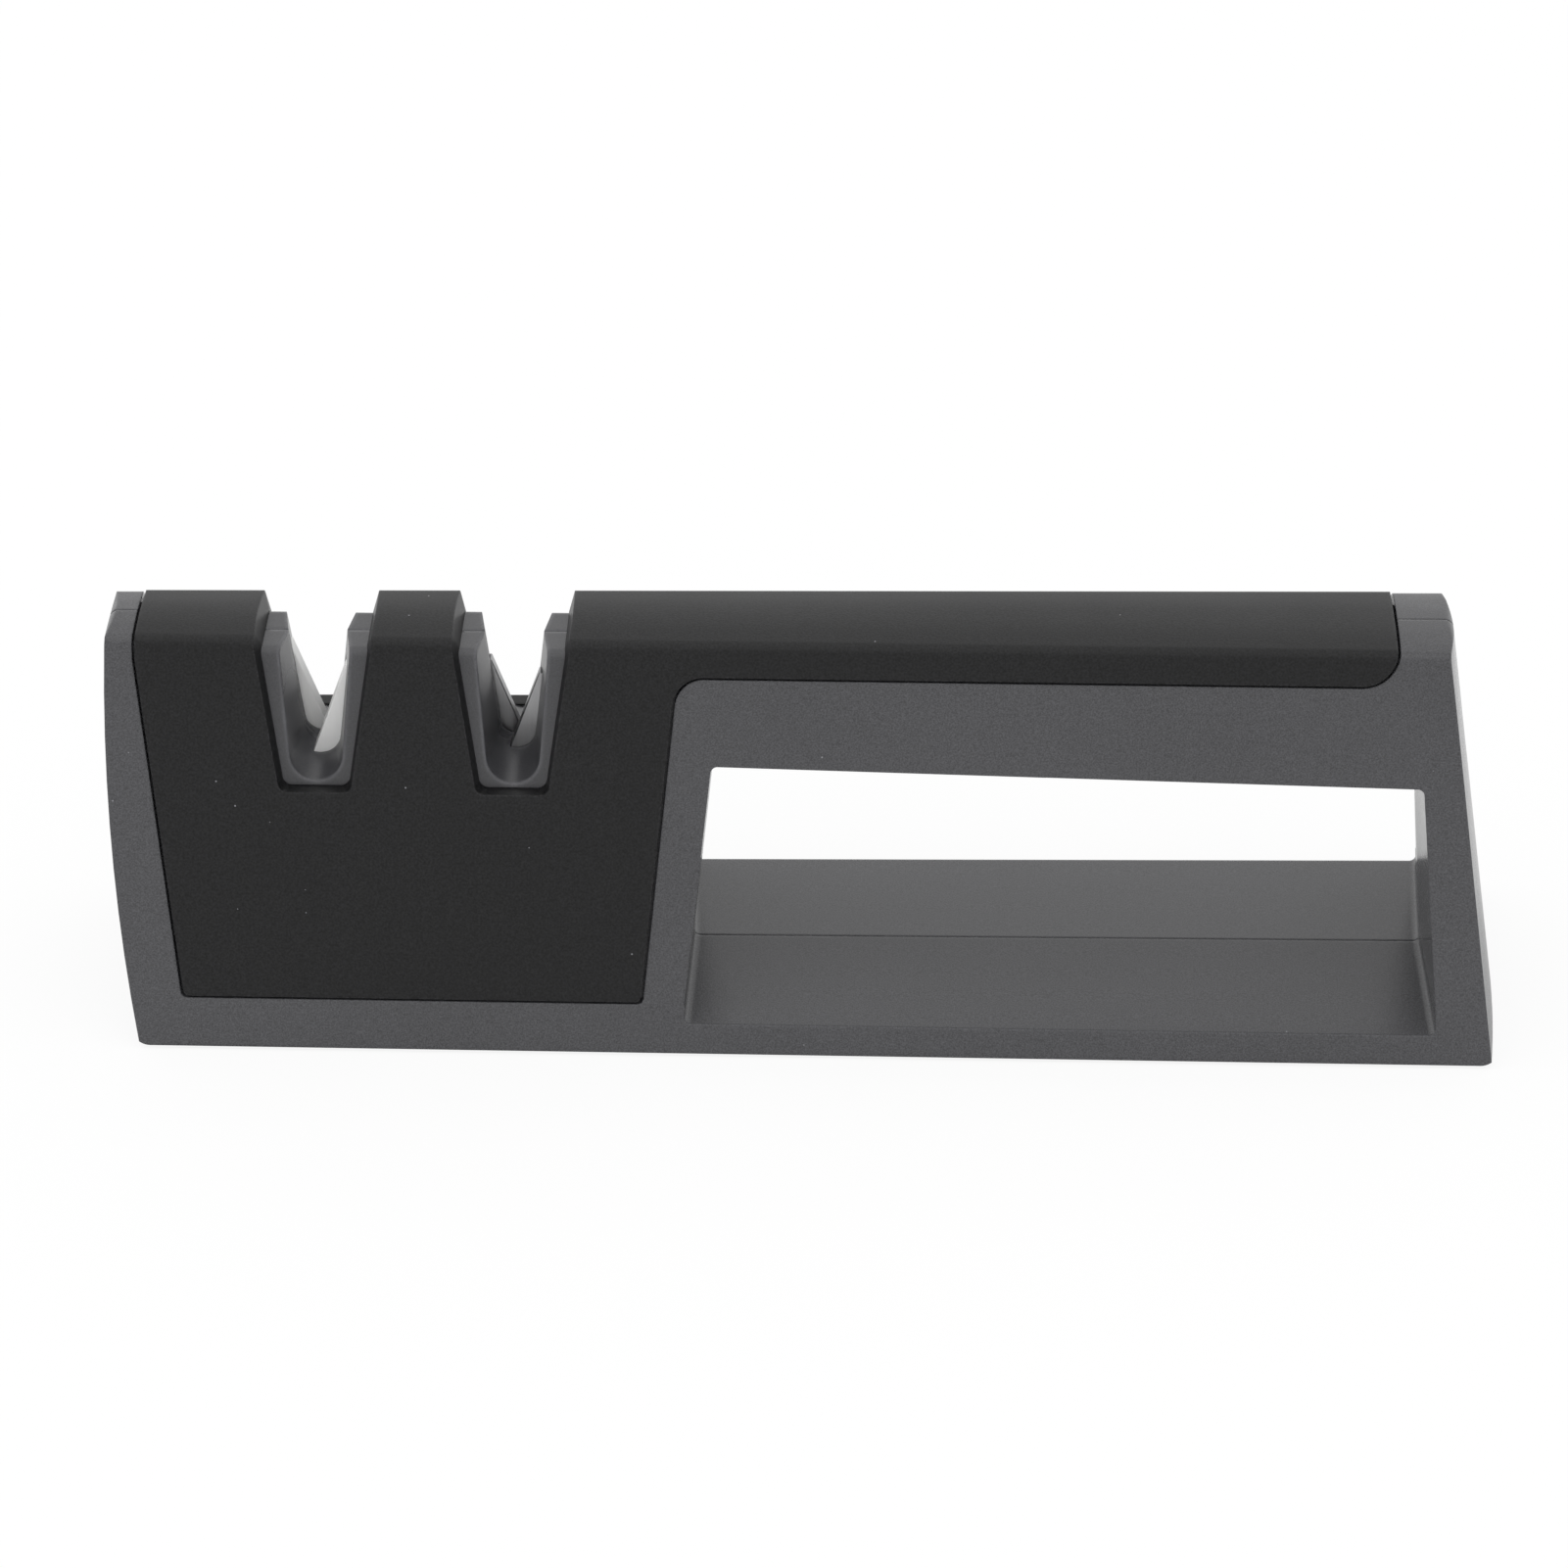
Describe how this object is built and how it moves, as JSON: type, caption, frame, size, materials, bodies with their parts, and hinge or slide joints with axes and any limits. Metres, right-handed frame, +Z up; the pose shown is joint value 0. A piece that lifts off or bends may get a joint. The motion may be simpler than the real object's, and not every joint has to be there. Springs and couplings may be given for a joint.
{
  "type": "pull through knife sharpener",
  "caption": "Long tent-shaped two-stage knife sharpener: a hand grip over an open window, and two U slots with crossed bars at one end.",
  "frame": {"origin": "on the surface it rests on, below the middle of its length and on the parting plane of its two shells", "axes": "+X along the length from the slots towards the grip end, +Y from the front face to the back face, +Z up"},
  "size_m": [0.2022, 0.0522, 0.0603],
  "materials": {
    "shell": "fine-textured dark grey moulding",
    "cover": "soft matt black moulding",
    "block": "smooth satin dark grey moulding",
    "fine_bar": "ground white ceramic",
    "coarse_bar": "finely ground dark hard metal",
    "screw": "plated steel",
    "base": "matt black moulding",
    "foot": "matt black rubber"
  },
  "bodies": {
    "root": {"front_shell": "shell", "rear_shell": "shell", "grip_cover": "cover", "fine_block_front": "block", "fine_block_rear": "block", "coarse_block_front": "block", "coarse_block_rear": "block", "fine_bar_left": "fine_bar", "fine_bar_right": "fine_bar", "coarse_bar_left": "coarse_bar", "coarse_bar_right": "coarse_bar", "fine_retainer": "block", "coarse_retainer": "block", "block_screws": "screw", "retainer_screws": "screw", "shell_screws": "screw", "base_plate": "base", "base_screws": "screw", "foot_front_left": "foot", "foot_front_right": "foot", "foot_rear_left": "foot", "foot_rear_right": "foot"}
  },
  "joints": []
}
